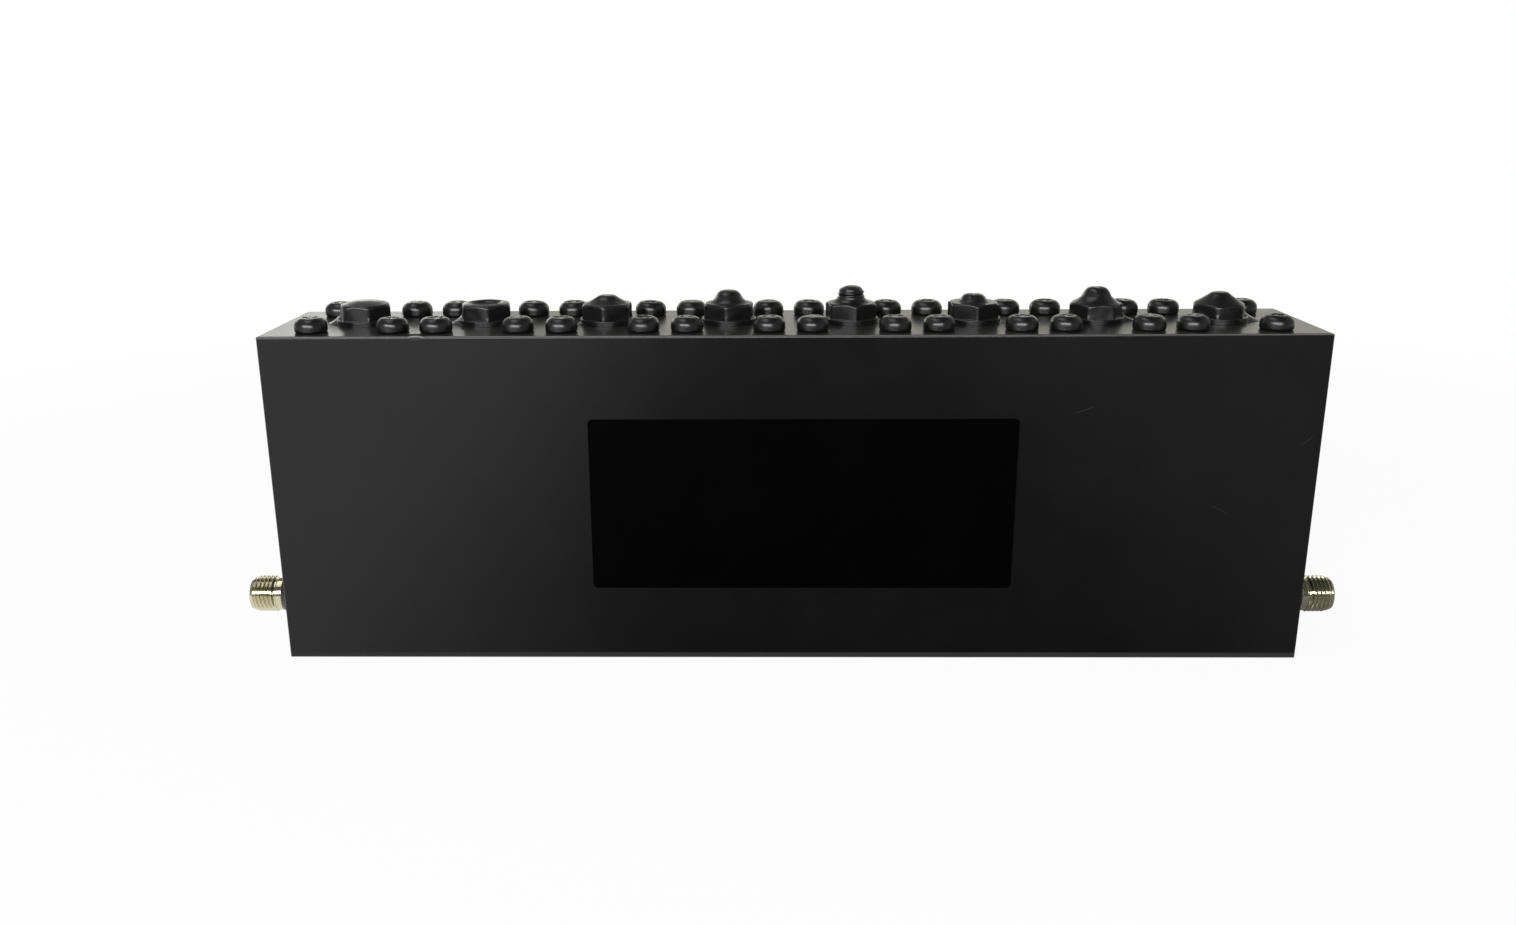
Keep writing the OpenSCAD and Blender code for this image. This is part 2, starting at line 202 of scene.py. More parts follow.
class Enamel:
    """Sprayed black enamel with a slight orange peel, clouded gloss and a few dust nibs."""

    def __init__(self, name, specular, gloss, peel_depth):
        paint = self.paint = new_finish(name, specular)
        place = self.place = paint.place()
        cloud = paint.noise(place, 0.11, 3.0)
        peel = paint.noise(place, 0.9, 2.0)
        grain = paint.noise(place, 6.0, 2.0)
        nibs = paint.step(paint.noise(place, 1.7, 0.0), 0.76, 0.84)
        self.colour = paint.blend(cloud, DEEP_ENAMEL, PALE_ENAMEL)
        self.rough = gloss - 0.04 + cloud * 0.07 + grain * 0.03
        paint.feed(Normal=paint.relief(peel + grain * 0.12 + nibs * 0.8, peel_depth))

    def done(self):
        self.paint.feed(Base_Color=self.colour, Roughness=self.rough)
        return self.paint.owner


def box_paint(scuffs):
    """The box's enamel: duller on top and lighter there as painted light, a painted highlight along the
    cover's front edge, and a few scuffs on the front.
    """
    coat = Enamel("box_enamel", 0.34, 0.20, 0.004)
    paint, x, y, z = coat.paint, *(coat.paint.along(coat.place, axis) for axis in "XYZ")
    worn = 0.0
    for mid_x, mid_z, length, slope in scuffs:
        right = x - mid_x
        up = z - mid_z - right * slope
        worn = worn + (1 - paint.step((right / length) ** 2.0 + (up / SCUFF_HALF) ** 2.0, 0.2, 1.0))
    from_edge = (y - front_y) + (lid_z - z)
    uneven = 0.6 + paint.noise(coat.place, 0.5, 3.0) * 0.6
    # Painted highlight: a light line along the top of the cover's front edge
    painted_edge_highlight = (1 - paint.step(from_edge, EDGE_FROM, EDGE_TO)) * uneven
    facing = paint.add("ShaderNodeNewGeometry", {}, {}, "Normal")
    upward = paint.step(paint.along(facing, "Z"), 0.6, 0.95)
    # Painted light: faces that look up get a lighter colour; their added roughness further down is real
    # dullness
    coat.colour = paint.blend(upward, coat.colour, TOP_PAINTED_LIGHT)
    coat.colour = paint.blend(worn * 0.25, coat.colour, SCUFFED)
    coat.colour = paint.blend(painted_edge_highlight, coat.colour, EDGE_HIGHLIGHT_GREY)
    coat.rough = coat.rough + worn * 0.12 + upward * 0.10
    return coat.done()


def label_film():
    """A bare satin film, a little deeper black than the enamel round it."""
    film = new_finish("bare_label_film", 0.02)
    place = film.place()
    weave = film.noise(place, 9.0, 3.0, 0.6)
    cloud = film.noise(place, 0.07, 2.0)
    film.feed(Base_Color=film.blend(cloud, grey(0.0004), grey(0.0009)),
              Roughness=0.34 + cloud * 0.08 + weave * 0.05,
              Normal=film.relief(weave, 0.004))
    return film.owner


def plated_shell():
    """A turned, plated jack with a warm tint; its hexagon was sprayed with the box."""
    shell = new_finish("plated_jack_shell", 0.5)
    place = shell.place()
    outward = shell.add("ShaderNodeMath", {"operation": "ABSOLUTE"}, {0: shell.along(place, "X")})
    ragged = shell.noise(place, 1.3, 2.0)
    sprayed = 1 - shell.step(outward + ragged * 0.35, end_x + SPRAY_FROM, end_x + SPRAY_TO)
    tool_marks = shell.noise(shell.stretch(place, 9.0, 0.4, 0.4), 1.0, 2.0)
    tarnish = shell.noise(place, 0.55, 3.0)
    metal = shell.blend(tarnish, (0.58, 0.54, 0.36, 1), (0.70, 0.67, 0.50, 1))
    shell.feed(Base_Color=shell.blend(sprayed, metal, SPRAYED_HEXAGON),
               Metallic=1 - sprayed,
               Roughness=0.09 + tool_marks * 0.06 + tarnish * 0.05 + sprayed * 0.12,
               Normal=shell.relief(tool_marks, 0.006))
    return shell.owner


def white_dielectric():
    """Turned white plastic with a faint haze."""
    plastic = new_finish("white_dielectric", 0.4)
    place = plastic.place()
    haze = plastic.noise(place, 0.8, 3.0)
    turned = plastic.noise(plastic.stretch(place, 1.0, 6.0, 6.0), 1.0, 2.0)
    plastic.feed(Base_Color=plastic.blend(haze, (0.80, 0.79, 0.75, 1), (0.88, 0.87, 0.84, 1)),
                 Roughness=0.42 + haze * 0.12,
                 Normal=plastic.relief(turned, 0.006))
    return plastic.owner


def plated_metal(name, worn_colour, bright_colour, smooth):
    """Plating over turned metal, with fine tool marks and a cloudy tarnish."""
    plating = new_finish(name, 0.5)
    place = plating.place()
    tarnish = plating.noise(place, 0.4, 4.0, 0.6)
    marks = plating.noise(plating.stretch(place, 5.0, 0.6, 5.0), 1.0, 2.0)
    plating.feed(Base_Color=plating.blend(tarnish, worn_colour, bright_colour),
                 Metallic=1.0,
                 Roughness=smooth + tarnish * 0.12 + marks * 0.06,
                 Normal=plating.relief(marks, 0.005))
    return plating.owner


def tuning_brass():
    """Bare brass thread below the cover, enamel above it."""
    brass = new_finish("tuning_screw_brass", 0.5)
    place = brass.place()
    height = brass.along(place, "Z")
    above = brass.step(height, lid_z - 0.2, lid_z)
    turns = brass.add("ShaderNodeMath", {"operation": "SINE"}, {0: height * (2 * math.pi / TUNING_PITCH)})
    tarnish = brass.noise(place, 0.6, 3.0)
    metal = brass.blend(tarnish, (0.62, 0.45, 0.16, 1), (0.78, 0.60, 0.25, 1))
    brass.feed(Base_Color=brass.blend(above, metal, PAINTED_TIP),
               Metallic=1 - above,
               Roughness=0.24 + tarnish * 0.14,
               Normal=brass.relief(turns * 0.5 + 0.5, 0.12))
    return brass.owner


# Scuffs on the front: middle in x and z, half length and slope
box_enamel = box_paint(scuffs=((46.9, 43.2, 2.2, 0.35), (70.1, 26.4, 1.8, -0.5), (82.8, 38.0, 1.4, 0.9)))
thick_enamel = Enamel("thick_enamel", 0.6, 0.29, 0.0006).done()
shell_plate = plated_shell()


# Meshes: closed skins through rings of points


def full_turn(count):
    """Evenly spaced directions, once round."""
    return np.linspace(0, 2 * np.pi, count, endpoint=False)


def ramp(value, start, width):
    """0 up to start, 1 from start + width, straight between."""
    return np.clip((value - start) / width, 0, 1)


def soften(rings, passes):
    """Rounds a grid of rings the way a thick coat of paint does."""
    for _ in range(passes):
        around = (np.roll(rings, 1, 1) + np.roll(rings, -1, 1)) / 2
        along = (np.roll(rings, 1, 0) + np.roll(rings, -1, 0)) / 2
        along[0], along[-1] = rings[0], rings[-1]
        rings = rings + (around - rings) / 4 + (along - rings) / 4
    return rings


def ring_faces(rows, turns, looped):
    """Quads between neighbouring rings, counted from vertex 0."""
    row, turn = np.meshgrid(np.arange(rows if looped else rows - 1), np.arange(turns), indexing="ij")
    after, beside = (row + 1) % rows, (turn + 1) % turns
    quads = [row * turns + turn, row * turns + beside, after * turns + beside, after * turns + turn]
    return np.stack(quads, -1).reshape(-1, 4)


def closed_skin(rings, looped=False):
    """Points and faces of a closed surface: a loop of rings, or rings with a point at each end."""
    rows, turns, _ = rings.shape
    points = rings.reshape(-1, 3)
    faces = ring_faces(rows, turns, looped).tolist()
    if not looped:
        low, high = len(points), len(points) + 1
        points = np.concatenate([points, rings[:1].mean(1), rings[-1:].mean(1)])
        last = (rows - 1) * turns
        for turn in range(turns):
            beside = (turn + 1) % turns
            faces.append((low, beside, turn))
            faces.append((high, last + turn, last + beside))
    return points, faces


def piece(name, skins, finish, slot, *stands_for):
    """One object of the part from one or more closed skins, in millimetres."""
    points, faces, start = [], [], 0
    for skin_points, skin_faces in skins:
        points.append(skin_points)
        faces += [[start + corner for corner in face] for face in skin_faces]
        start += len(skin_points)
    mesh = bpy.data.meshes.new(name)
    mesh.from_pydata((np.concatenate(points) * MM).tolist(), [], faces)
    mesh.polygons.foreach_set("use_smooth", np.ones(len(mesh.polygons), bool))
    mesh.materials.append(finish)
    mesh.validate()
    made = bpy.data.objects.new(name, mesh)
    bpy.context.scene.collection.objects.link(made)
    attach(made, "root")
    if stands_for:
        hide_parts(*stands_for)


def strip(count, start, end):
    """Profile points (radius, height) from start towards end, for every angle at once."""
    share = (np.arange(count) / count)[:, None]
    begin = [np.atleast_1d(part)[None, :] for part in start]
    finish = [np.atleast_1d(part)[None, :] for part in end]
    return [a + (b - a) * share for a, b in zip(begin, finish)]


def stack(strips, turns):
    """Strips joined into one profile, as radius and height by row and angle."""
    radius = [np.broadcast_to(r, (r.shape[0], turns)) for r, _ in strips]
    height = [np.broadcast_to(z, (z.shape[0], turns)) for _, z in strips]
    return np.concatenate(radius), np.concatenate(height)


def curve_through(points, count):
    """A smooth line through a few points (radius, height), as a strip of count rows."""
    knots = np.array(points)
    marks = np.concatenate([[0.0], np.cumsum(np.linalg.norm(np.diff(knots, axis=0), axis=1))])
    slopes = np.gradient(knots, marks, axis=0)
    at = np.linspace(0, marks[-1], count)
    left = np.clip(np.searchsorted(marks, at, "right") - 1, 0, len(knots) - 2)
    reach = (marks[left + 1] - marks[left])[:, None]
    t = (at - marks[left])[:, None] / reach
    line = (knots[left] * (1 + 2 * t) * (1 - t) ** 2 + slopes[left] * reach * t * (1 - t) ** 2
            + knots[left + 1] * t ** 2 * (3 - 2 * t) + slopes[left + 1] * reach * t ** 2 * (t - 1))
    return [line[:, :1], line[:, 1:]]


def even_rows(radius, height, rows):
    """The same profile with its rows evenly spaced, angle by angle."""
    steps = np.hypot(np.diff(radius, axis=0), np.diff(height, axis=0))
    marks = np.concatenate([np.zeros((1, radius.shape[1])), np.cumsum(steps, 0)])
    even = np.zeros((2, rows, radius.shape[1]))
    for turn in range(radius.shape[1]):
        at = np.linspace(0, marks[-1, turn], rows)
        even[0, :, turn] = np.interp(at, marks[:, turn], radius[:, turn])
        even[1, :, turn] = np.interp(at, marks[:, turn], height[:, turn])
    return even


def lumps(points, seed, size, amount):
    """A smooth seeded unevenness at each point, about amount high."""
    waves, usual_sum = 14, 3.7
    rng = np.random.default_rng(seed)
    total = np.zeros(points.shape[:-1])
    for _ in range(waves):
        wave = rng.normal(size=3)
        wave *= 2 * np.pi / size / np.linalg.norm(wave) * rng.uniform(0.6, 1.5)
        total += np.sin(points @ wave + rng.uniform(0, 2 * np.pi))
    return total * amount / usual_sum


def hexagon(angle, corner_angle, half_flat):
    """Radius of a hexagon in each direction."""
    sixth = math.pi / 3
    return half_flat / np.cos((angle - corner_angle) % sixth - sixth / 2)


# Painted tuning stations: nut, washer, sealant and screw tip under one thick coat

# coat: how far the paint rounds edges, film: its thickness,
# drop: how far the brim is rounded down, lump: unevenness,
# crown: outline over the nut as radius and height above it,
# ridge: thread showing through, groove: depth and direction of the slot,
# webs: runs of paint at the foot as direction, half width, reach and height
COATS = {
    1: dict(coat=26, film=0.10, lump=0.015,
            crown=((3.45, 0.12), (2.5, 0.36), (1.3, 0.55), (0.03, 0.60)),
            webs=((178, 34, 2.2, 2.9), (0, 30, 0.8, 1.4))),
    2: dict(coat=20, film=0.10, lump=0.015,
            crown=((3.45, 0.10), (3.0, 0.20), (2.5, 0.02), (2.0, -0.28), (1.4, -0.42), (0.03, -0.45)),
            webs=((182, 34, 2.2, 2.8), (-5, 30, 0.8, 1.4))),
    3: dict(coat=16, film=0.07, lump=0.025, groove=(0.03, 75),
            crown=((3.6, 0.06), (2.85, 0.36), (2.3, 0.64), (1.8, 0.97),
                   (1.35, 1.24), (0.9, 1.33), (0.03, 1.34)),
            webs=((186, 26, 1.3, 1.4), (10, 28, 1.2, 1.8))),
    4: dict(coat=14, film=0.08, lump=0.025,
            crown=((3.5, 0.06), (2.95, 0.22), (2.5, 0.58), (2.2, 1.00),
                   (1.95, 1.45), (1.5, 1.87), (0.8, 2.08), (0.03, 2.11)),
            webs=((180, 28, 1.6, 2.2), (8, 28, 1.9, 2.4))),
    5: dict(coat=3, film=0.06, lump=0.012, ridge=0.08, groove=(0.05, 150),
            crown=((3.5, 0.04), (3.0, 0.16), (2.55, 0.45), (2.25, 0.82), (2.09, 1.20),
                   (2.07, 1.78), (1.85, 2.16), (1.4, 2.50), (0.8, 2.70), (0.03, 2.75)),
            webs=((10, 24, 2.0, 2.4), (178, 24, 1.2, 1.6))),
    6: dict(coat=3, film=0.06, lump=0.012, groove=(0.07, 80),
            crown=((3.3, 0.03), (2.75, 0.08), (2.3, 0.26), (2.1, 0.52),
                   (1.87, 0.88), (1.45, 1.20), (0.8, 1.36), (0.03, 1.38)),
            webs=((8, 28, 2.1, 1.6), (180, 22, 0.8, 1.2))),
    7: dict(coat=12, film=0.08, drop=0.15, lump=0.04, groove=(0.06, 95),
            crown=((3.5, 0.02), (3.1, 0.24), (2.7, 0.58), (2.35, 0.98), (2.14, 1.40),
                   (1.9, 1.80), (1.5, 2.18), (0.9, 2.38), (0.03, 2.41)),
            webs=((12, 20, 3.0, 3.1), (176, 40, 1.6, 2.8))),
    8: dict(coat=30, film=0.16, drop=0.30, lump=0.03,
            crown=((3.55, -0.08), (3.1, 0.20), (2.3, 0.70), (1.8, 1.03),
                   (1.4, 1.36), (0.95, 1.50), (0.03, 1.52)),
            webs=((4, 28, 3.1, 2.8), (184, 40, 1.4, 2.8))),
}
STATION_TURNS = 168
RIM_ROWS, LEDGE_ROWS, FLAT_ROWS, CHAMFER_ROWS, CROWN_ROWS = 13, 10, 24, 5, 70
WASHER_ROWS = RIM_ROWS + LEDGE_ROWS
NUT_ROWS = 110
CHAMFER_ANGLE = math.pi / 6
FOOT_Z, WEB_INNER_R, WEB_CURVE = -0.02, 3.6, 3.2
TIP_R, TIP_CORE_R, SLOT_HALF = 2.3, 1.0, 0.32
WASHER_COAT, LUMP_SIZE, LUMP_FADE = 2, 2.4, 0.6

# Heights above the nut, or above the washer for the coat, from which each fades in, and over what height
SLOT_FROM, SLOT_FADE = 0.3, 0.4
THREAD_FROM, THREAD_FADE = 0.7, 0.3
COAT_FROM, COAT_FADE = 0.2, 0.6


def nut_form(n):
    """Middle, height above the lid, half width over the flats and corner angle of a lock nut."""
    low, high = span(f"lock_nut_{n}")
    centre = (low[:2] + high[:2]) / 2
    outline = node_points(f"lock_nut_{n}")[:, :2] - centre
    reach = np.hypot(outline[:, 0], outline[:, 1])
    corner = outline[reach.argmax()]
    half_flat = reach.max() * math.cos(math.pi / 6)
    return centre, high[2] - lid_z, half_flat, math.atan2(corner[1], corner[0])


def station_profile(care, hex_r, half_flat, nut_top):
    """From the lid up the washer and the nut's flats, over its chamfer and the crown to the axis."""
    film, drop = care["film"], care.get("drop", 0.0)
    rim, flat_r, ledge_z = washer_r + film, hex_r + film, washer_z + film / 2
    chamfer_z = nut_top - (hex_r - half_flat) * math.tan(CHAMFER_ANGLE) - drop
    brim_z = nut_top + film / 2 - drop
    crown = [(half_flat, brim_z)] + [(r, nut_top + z) for r, z in care["crown"]]
    return stack([strip(RIM_ROWS, (rim, FOOT_Z), (rim, ledge_z)),
                  strip(LEDGE_ROWS, (rim, ledge_z), (flat_r, ledge_z)),
                  strip(FLAT_ROWS, (flat_r, ledge_z), (flat_r, chamfer_z)),
                  strip(CHAMFER_ROWS, (flat_r, chamfer_z), (half_flat, brim_z)),
                  curve_through(crown, CROWN_ROWS)], STATION_TURNS)


def run_webs(radius, height, angle, webs, flat_r):
    """Lets runs of paint hang from the nut's side and spread over the lid."""
    for direction, half_width, reach, top in webs:
        off = (angle - math.radians(direction) + np.pi) % (2 * np.pi) - np.pi
        share = np.exp(-(off / math.radians(half_width)) ** 2)
        low = np.clip(1 - height / (top * share + 0.01), 0, 1)
        flow = flat_r + reach * share * low ** WEB_CURVE
        radius = np.where((low > 0) & (radius > WEB_INNER_R), np.maximum(radius, flow), radius)
    return radius


def cut_slot(radius, height, angle, nut_top, depth, direction):
    """Sinks the screw's slot into the tip above the nut."""
    across = radius * np.sin(angle - math.radians(direction))
    tip = ramp(height, nut_top + SLOT_FROM, SLOT_FADE) * (radius < TIP_R)
    return height - depth * tip * np.exp(-(across / SLOT_HALF) ** 2)


def coat_over(rings, passes):
    """Rounds the nut and crown by so many passes, and the washer hardly at all."""
    washer = soften(rings, WASHER_COAT)
    above = ramp(washer[..., 2:], washer_z + COAT_FROM, COAT_FADE)
    return washer + (soften(rings, passes) - washer) * above


def make_uneven(rings, seed, lump, nut_top):
    """Swells and dents the coat a little, away from the nut's middle."""
    outward = rings - np.array([0, 0, nut_top / 2])
    outward /= np.linalg.norm(outward, axis=-1, keepdims=True)
    uneven = lumps(rings, seed, LUMP_SIZE, lump) * ramp(rings[..., 2], 0, LUMP_FADE)
    return rings + outward * (uneven + 0.3 * lump)[..., None]


def show_thread(rings, radius, angle, nut_top, ridge):
    """Lets the screw's thread show through the paint round its tip."""
    wave = ridge * np.sin(2 * np.pi * rings[..., 2] / TUNING_PITCH - angle)
    wave = wave * ramp(rings[..., 2], nut_top + THREAD_FROM, THREAD_FADE) * (radius > TIP_CORE_R)
    rings[..., :2] *= 1 + (wave / np.maximum(radius, TIP_CORE_R))[..., None]
    return rings


def painted_station(n):
    care = COATS[n]
    centre, nut_top, half_flat, corner_angle = nut_form(n)
    angle = full_turn(STATION_TURNS)
    hex_r = hexagon(angle, corner_angle, half_flat)
    radius, height = station_profile(care, hex_r, half_flat, nut_top)
    radius = run_webs(radius, height, angle, care["webs"], hex_r + care["film"])
    upper = even_rows(radius[WASHER_ROWS:], height[WASHER_ROWS:], NUT_ROWS)
    radius, height = (np.concatenate([whole[:WASHER_ROWS], even])
                      for whole, even in zip((radius, height), upper))
    height = cut_slot(radius, height, angle, nut_top, *care.get("groove", (0.0, 0)))
    rings = np.stack([radius * np.cos(angle), radius * np.sin(angle), height], -1)
    rings = coat_over(rings, care["coat"])
    rings = make_uneven(rings, n, care["lump"], nut_top)
    rings = show_thread(rings, radius, angle, nut_top, care.get("ridge", 0.0))
    rings += np.array([*centre, lid_z])
    covered = [f"lock_nut_{n}", "nut_washers"] + [f"sealant_{n}"] * (f"sealant_{n}" in nodes)
    piece(f"painted_nut_{n}", [closed_skin(rings)], thick_enamel, "black_paint", *covered)


for n in STATIONS:
    painted_station(n)


# Cover screws: 32 pan heads, their cross recesses nearly filled by paint

SCREW_TURNS = 48
HEAD_R, SHANK_R, SHANK_TIP_R, AXIS_R = 2.65, 1.5, 0.05, 0.03
FOOT_RADIUS, BELT_Z, CROWN_R, CROWN_RISE = 0.35, 0.8, 0.95, 0.16
SHOULDER_CURVE = 0.9
ARM_HALF, ARM_REACH, ARM_DEPTH, ARM_RISE = 0.42, 1.3, 0.80, 0.28
BOWL_DEPTH, RECESS_FROM, RECESS_FADE = 0.22, 1.7, 0.4
HEAD_COAT, BULGE_SIZE, BULGE, BULGE_FADE = 4, 4.0, 0.025, 0.4
MOST_LEAN, LEAST_OPEN, MOST_OPEN = 1.1, 0.15, 0.45


def head_profile(head_z, shank_z):
    """A shank and a pan head, rounded from its belt to its middle."""
    swing = np.linspace(0, np.pi / 2, 6, endpoint=False)[:, None]
    sweep = np.linspace(0, np.pi / 2, 18, endpoint=False)[:, None]
    share = np.linspace(0, 1, 14)[:, None]
    foot_r = HEAD_R - FOOT_RADIUS
    return [strip(2, (SHANK_TIP_R, shank_z), (SHANK_R, shank_z)),
            strip(2, (SHANK_R, shank_z), (SHANK_R, 0.0)),
            strip(3, (SHANK_R, 0.0), (foot_r, 0.0)),
            [foot_r + FOOT_RADIUS * np.sin(swing), FOOT_RADIUS - FOOT_RADIUS * np.cos(swing)],
            strip(4, (HEAD_R, FOOT_RADIUS), (HEAD_R, BELT_Z)),
            [CROWN_R + (HEAD_R - CROWN_R) * np.cos(sweep) ** SHOULDER_CURVE,
             BELT_Z + (head_z - BELT_Z) * np.sin(sweep) ** SHOULDER_CURVE],
            [CROWN_R * (1 - share) + AXIS_R, head_z + CROWN_RISE * np.sin(share * np.pi / 2)]]


def cross_recess(across, ahead, radius, height):
    """How deep an open cross recess would be at each point of the head."""
    arms = np.maximum(np.exp(-(across / ARM_HALF) ** 4 - (ahead / ARM_REACH) ** 6),
                      np.exp(-(ahead / ARM_HALF) ** 4 - (across / ARM_REACH) ** 6))
    bowl = BOWL_DEPTH * np.exp(-(radius / ARM_REACH) ** 4)
    return (bowl + arms * (ARM_DEPTH - ARM_RISE * radius)) * ramp(height, RECESS_FROM, RECESS_FADE)


def one_screw(head, recess, rng):
    """A screw with its own turn, lean, filling of paint and slight bulges."""
    turn = rng.uniform(0, np.pi / 2)
    lean = math.radians(rng.uniform(0, MOST_LEAN))
    way = rng.uniform(0, 2 * np.pi)
    open_share = rng.uniform(LEAST_OPEN, MOST_OPEN)
    rings = head.copy()
    rings[..., 2] -= open_share * recess
    cos, sin = math.cos(turn), math.sin(turn)
    rings = soften(rings, HEAD_COAT) @ np.array([[cos, -sin, 0], [sin, cos, 0], [0, 0, 1]]).T
    above = ramp(rings[..., 2], 0, BULGE_FADE)
    bulge = lumps(rings, int(rng.integers(1 << 30)), BULGE_SIZE, BULGE) * above
    rings = rings * (1 + bulge[..., None] / HEAD_R)
    uphill = rings[..., 0] * math.cos(way) + rings[..., 1] * math.sin(way)
    rings[..., 2] += above * math.tan(lean) * uphill
    return rings


def painted_screws():
    low, high = span("cover_screws")
    stations = [np.mean(span(f"lock_nut_{n}"), 0)[0] for n in STATIONS]
    dx = high[0] - HEAD_R - stations[-1]
    dy = high[1] - HEAD_R
    rng = np.random.default_rng(32)
    angle = full_turn(SCREW_TURNS)
    radius, height = stack(head_profile(high[2] - lid_z, low[2] - lid_z), SCREW_TURNS)
    across, ahead = radius * np.cos(angle), radius * np.sin(angle)
    head = np.stack([across, ahead, height], -1)
    recess = cross_recess(across, ahead, radius, height)
    skins = []
    for x in stations:
        for place in ((x - dx, -dy), (x + dx, -dy), (x - dx, dy), (x + dx, dy)):
            skins.append(closed_skin(one_screw(head, recess, rng) + np.array([*place, lid_z])))
    piece("painted_cover_screws", skins, thick_enamel, "black_paint", "cover_screws")


painted_screws()


# Jacks: turned shells with a cut thread

JACK_TURNS, THREAD_ROWS = 96, 84
SHANK_IN, HEX_OUT, COLLAR_OUT, GROOVE_OUT, THREAD_OUT, JACK_OUT = -5.5, 4.4, 5.5, 5.8, 8.75, 10.0
THREAD_R, ROOT_R, COLLAR_R, GROOVE_R, MOUTH_R, BORE_R = 3.175, 2.80, 3.0, 2.775, 2.3, 2.08
HEX_HALF, CONE_L, MOUTH_DEPTH, THREAD_PITCH = 3.5, 1.6, 1.9, 25.4 / 36
EDGE_BREAK = 0.06


def thread_radius(out, angle):
    """A sixty degree thread with a flat crest, running out into the lead."""
    phase = (out / THREAD_PITCH - angle[None, :] / (2 * np.pi)) % 1
    ridge = np.clip(1.25 - np.abs(phase - 0.5) * 3.2, 0, 1)
    lead = THREAD_R - (THREAD_R - GROOVE_R) * ramp(out, THREAD_OUT, JACK_OUT - THREAD_OUT)
    return np.minimum(ROOT_R + (THREAD_R - ROOT_R) * ridge, lead)


def jack_profile(angle):
    """Along the outside from the shank to the nose, and back through the mouth and the bore."""
    corner_r = HEX_HALF / math.cos(math.pi / 6)
    hex_out = np.concatenate([[0.0, EDGE_BREAK], np.linspace(0.2, HEX_OUT, 30)])[:, None]
    cone = COLLAR_R + (corner_r - COLLAR_R) * np.clip((HEX_OUT - hex_out) / CONE_L, 0, 2)
    flats = hexagon(angle, 0.0, HEX_HALF) - np.where(hex_out == 0, EDGE_BREAK, 0.0)
    thread_out = np.linspace(GROOVE_OUT + 0.01, JACK_OUT - EDGE_BREAK, THREAD_ROWS)[:, None]
    mouth_floor = JACK_OUT - MOUTH_DEPTH
    return [strip(6, (THREAD_R, SHANK_IN), (THREAD_R, 0.0)),
            [np.minimum(flats, cone), hex_out],
            strip(10, (COLLAR_R, HEX_OUT + 0.03), (COLLAR_R, COLLAR_OUT - 0.03)),
            strip(5, (GROOVE_R, COLLAR_OUT), (GROOVE_R, GROOVE_OUT)),
            [thread_radius(thread_out, angle), thread_out],
            strip(3, (GROOVE_R - 0.02, JACK_OUT - 0.03), (GROOVE_R - 0.08, JACK_OUT)),
            strip(5, (GROOVE_R - 0.08, JACK_OUT), (MOUTH_R + 0.10, JACK_OUT)),
            strip(3, (MOUTH_R + 0.08, JACK_OUT - 0.01), (MOUTH_R, JACK_OUT - 0.1)),
            strip(8, (MOUTH_R, JACK_OUT - 0.1), (MOUTH_R, mouth_floor + 0.02)),
            strip(4, (MOUTH_R, mouth_floor), (BORE_R, mouth_floor)),
            strip(6, (BORE_R, mouth_floor - 0.02), (BORE_R, SHANK_IN + 0.02)),
            strip(3, (BORE_R, SHANK_IN), (THREAD_R - 0.02, SHANK_IN))]


def turned_jack(name, side):
    low, high = span(f"{name}_jack_shell")
    axis_z = (low[2] + high[2]) / 2
    angle = full_turn(JACK_TURNS)
    radius, out = stack(jack_profile(angle), JACK_TURNS)
    rings = np.stack([side * (end_x + out),
                      side * radius * np.cos(angle),
                      axis_z + radius * np.sin(angle)], -1)
    piece(f"{name}_turned_jack", [closed_skin(rings, looped=True)], shell_plate, "jack_nickel",
          f"{name}_jack_shell")


for name, side in SIDES.items():
    turned_jack(name, side)


# A small run of paint on the front edge of the cover

RUN_ROWS, RUN_TURNS = 30, 24
RUN_INSET, RUN_SUNK, RUN_LIP = 0.35, 0.40, 0.05


def edge_run(x, length, proud):
    """A spindle of paint along the edge, most of it sunk in the cover."""
    sweep = np.linspace(-0.98, 0.98, RUN_ROWS)[:, None]
    angle = full_turn(RUN_TURNS)
    swell = (1 - sweep ** 2) ** 1.2
    rings = np.stack([np.broadcast_to(x + sweep * length / 2, (RUN_ROWS, RUN_TURNS)),
                      front_y + RUN_INSET + swell * (RUN_INSET + RUN_LIP) * np.cos(angle),
                      lid_z - RUN_SUNK + swell * (RUN_SUNK + proud) * np.sin(angle)], -1)
    piece("edge_paint_run", [closed_skin(rings)], thick_enamel, "black_paint")


edge_run(-59.7, 5.0, 0.42)


# Finishes of the CAD nodes that stay


def wear(node, finish):
    mesh = nodes[node].data
    mesh.materials.clear()
    mesh.materials.append(finish)


brass = tuning_brass()
silver = plated_metal("silver_plating", (0.70, 0.67, 0.60, 1), (0.88, 0.87, 0.84, 1), 0.18)
gold = plated_metal("gold_plating", (0.72, 0.52, 0.20, 1), (0.86, 0.68, 0.32, 1), 0.16)
plastic = white_dielectric()
wear("housing", box_enamel)
wear("cover", box_enamel)
wear("label", label_film())
wear("through_line", silver)
wear("coupling_probes", silver)
for n in STATIONS:
    wear(f"tuning_screw_{n}", brass)
    wear(f"resonator_{n}", silver)
for name in SIDES:
    wear(f"{name}_jack_dielectric", plastic)
    wear(f"{name}_jack_contact", gold)


# Studio, in metres: a pale floor, a white room, soft lamps and two dark cards on the table

ROOM_LIGHT = 0.32
FLOOR_HALF = 6.0
FLOOR_WHITE, FLOOR_FAR_DIM = 0.93, 0.65
WHITE_BEHIND, WHITE_SIDES, DIM_REST = 0.93, 0.22, 0.07
CARD_Z = 0.0008
TARGET = (0, 0, 0.055)


def ray_kinds(finish):
    """Two values of 0 or 1: straight rays, and rays that are mirrored or pass through something."""
    kinds = [finish.add("ShaderNodeLightPath", {}, {}, kind)
             for kind in ("Is Camera Ray", "Is Glossy Ray", "Is Transmission Ray")]
    return kinds[0], kinds[1] + kinds[2]


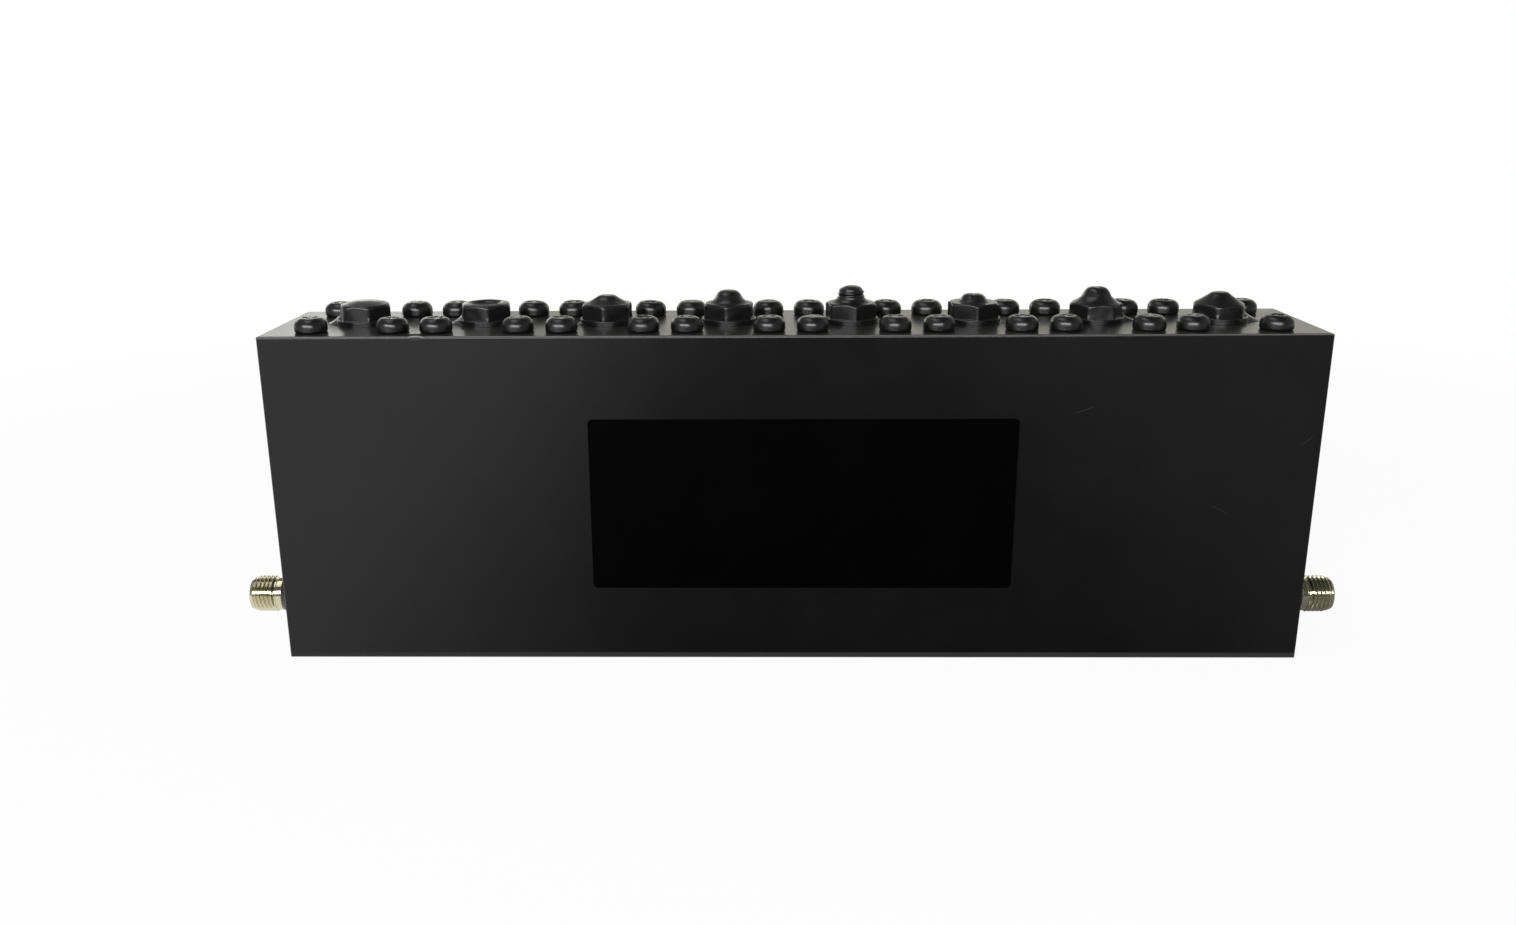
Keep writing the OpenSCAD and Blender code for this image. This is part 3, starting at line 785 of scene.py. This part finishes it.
def sheet_on_table(name, x0, x1, y0, y1, z):
    """A flat rectangle of the studio, which isn't part of the object."""
    mesh = bpy.data.meshes.new(name)
    mesh.from_pydata([(x0, y0, z), (x1, y0, z), (x1, y1, z), (x0, y1, z)], [], [(0, 1, 2, 3)])
    sheet = bpy.data.objects.new(name, mesh)
    bpy.context.scene.collection.objects.link(sheet)
    return sheet


def pale_floor():
    """Pale paper that keeps the object's shadow and grows white away from it."""
    floor = sheet_on_table("floor", -FLOOR_HALF, FLOOR_HALF, -FLOOR_HALF, FLOOR_HALF, 0.0)
    paper = new_finish("pale_paper", 0.1, 0.9)
    place = paper.place()
    tooth = paper.noise(place, 0.6, 3.0)
    paper.feed(Base_Color=paper.blend(tooth, grey(0.86), grey(0.90)))
    away = paper.add("ShaderNodeVectorMath", {"operation": "LENGTH"}, {0: place}, "Value")
    glow = paper.add("ShaderNodeEmission", {}, {"Color": WHITE, "Strength": 1.0})
    straight, mirrored = ray_kinds(paper)
    paper.cover_with(straight * (FLOOR_WHITE + paper.step(away, 150.0, 420.0) * (1 - FLOOR_WHITE))
                     + mirrored * (FLOOR_WHITE - paper.step(away, 260.0, 700.0) * FLOOR_FAR_DIM), glow)
    floor.data.materials.append(paper.owner)


def white_room():
    """White for the camera; in reflections white low behind the object, and dim above and in front."""
    world = bpy.data.worlds.new("white_room")
    bpy.context.scene.world = world
    room = Finish(world)
    towards = room.add("ShaderNodeTexCoord", {}, {}, "Generated")
    height = room.along(towards, "Z")
    band = room.step(height, 0.04, 0.12) * (1 - room.step(height, 0.22, 0.42) * 0.68)
    behind = room.step(room.along(towards, "Y"), 0.45, 0.80) * band
    sides = room.step(room.along(towards, "X") ** 2.0, 0.12, 0.60)
    reflected = behind * WHITE_BEHIND + sides * WHITE_SIDES + DIM_REST
    straight, mirrored = ray_kinds(room)
    background = room.tree.nodes["Background"]
    room.put(background.inputs["Strength"],
             ROOM_LIGHT + straight * (1 - ROOM_LIGHT) + mirrored * (reflected - ROOM_LIGHT))
    room.put(background.inputs["Color"], WHITE)


def lamp(name, place, target, width, height, radiance, colour=(1, 1, 1)):
    """A soft box of that size, aimed at the target."""
    data = bpy.data.lights.new(name, "AREA")
    data.color = colour
    data.shape = "RECTANGLE"
    data.size, data.size_y = width, height
    data.energy = radiance * math.pi * width * height
    box = bpy.data.objects.new(name, data)
    box.location = place
    box.rotation_euler = (Vector(target) - Vector(place)).to_track_quat("-Z", "Y").to_euler()
    bpy.context.scene.collection.objects.link(box)
    box.visible_camera = False


def dark_cards():
    """Felt with feathered ends, in front of the box and right of it, that dims the table's reflection."""
    felt = new_finish("dark_felt", 0.1, 0.9)
    place = felt.place()
    fuzz = felt.noise(place, 2.0, 3.0)
    felt.feed(Base_Color=felt.blend(fuzz, grey(0.02), grey(0.04)))
    right = felt.along(place, "X")
    bare = 1 - felt.step(right, -110.0, -10.0) * (1 - felt.step(right, 40.0, 120.0) * 0.25)
    felt.cover_with(bare, felt.add("ShaderNodeBsdfTransparent", {}, {}))
    for card in (sheet_on_table("front_card", -0.20, 0.40, -0.60, -0.013, CARD_Z),
                 sheet_on_table("side_card", 0.088, 0.40, -0.013, 0.06, CARD_Z)):
        card.data.materials.append(felt.owner)
        card.visible_camera = False
        card.visible_shadow = False
        card.visible_diffuse = False


pale_floor()
white_room()
dark_cards()
lamp("front_softbox", (-0.16, -0.60, 0.28), TARGET, 0.80, 0.14, 14.0)
lamp("top_softbox", (-0.26, -0.02, 0.85), (0, 0, 0.05), 0.7, 0.35, 1.6)
lamp("back_softbox", (-0.42, 0.62, 0.185), TARGET, 0.45, 0.12, 1.9)
lamp("wide_back_light", (0.15, 0.95, 0.23), TARGET, 1.7, 0.13, 0.68, (1.0, 0.97, 0.55))


# Camera at the photograph's view, fitted to the corners of the box

eye = bpy.data.cameras.new("camera")
eye.sensor_width = 36.0
eye.lens = 30.573
eye.shift_x, eye.shift_y = 0.01496, 0.00416
eye.clip_start = 0.01
camera = bpy.data.objects.new("camera", eye)
camera.location = (-0.005688, -0.213513, 0.092225)
camera.rotation_euler = [math.radians(turn) for turn in (73.7128, 0.33199, 0.85672)]
bpy.context.scene.collection.objects.link(camera)
bpy.context.scene.camera = camera
bpy.context.scene.view_settings.view_transform = "Standard"
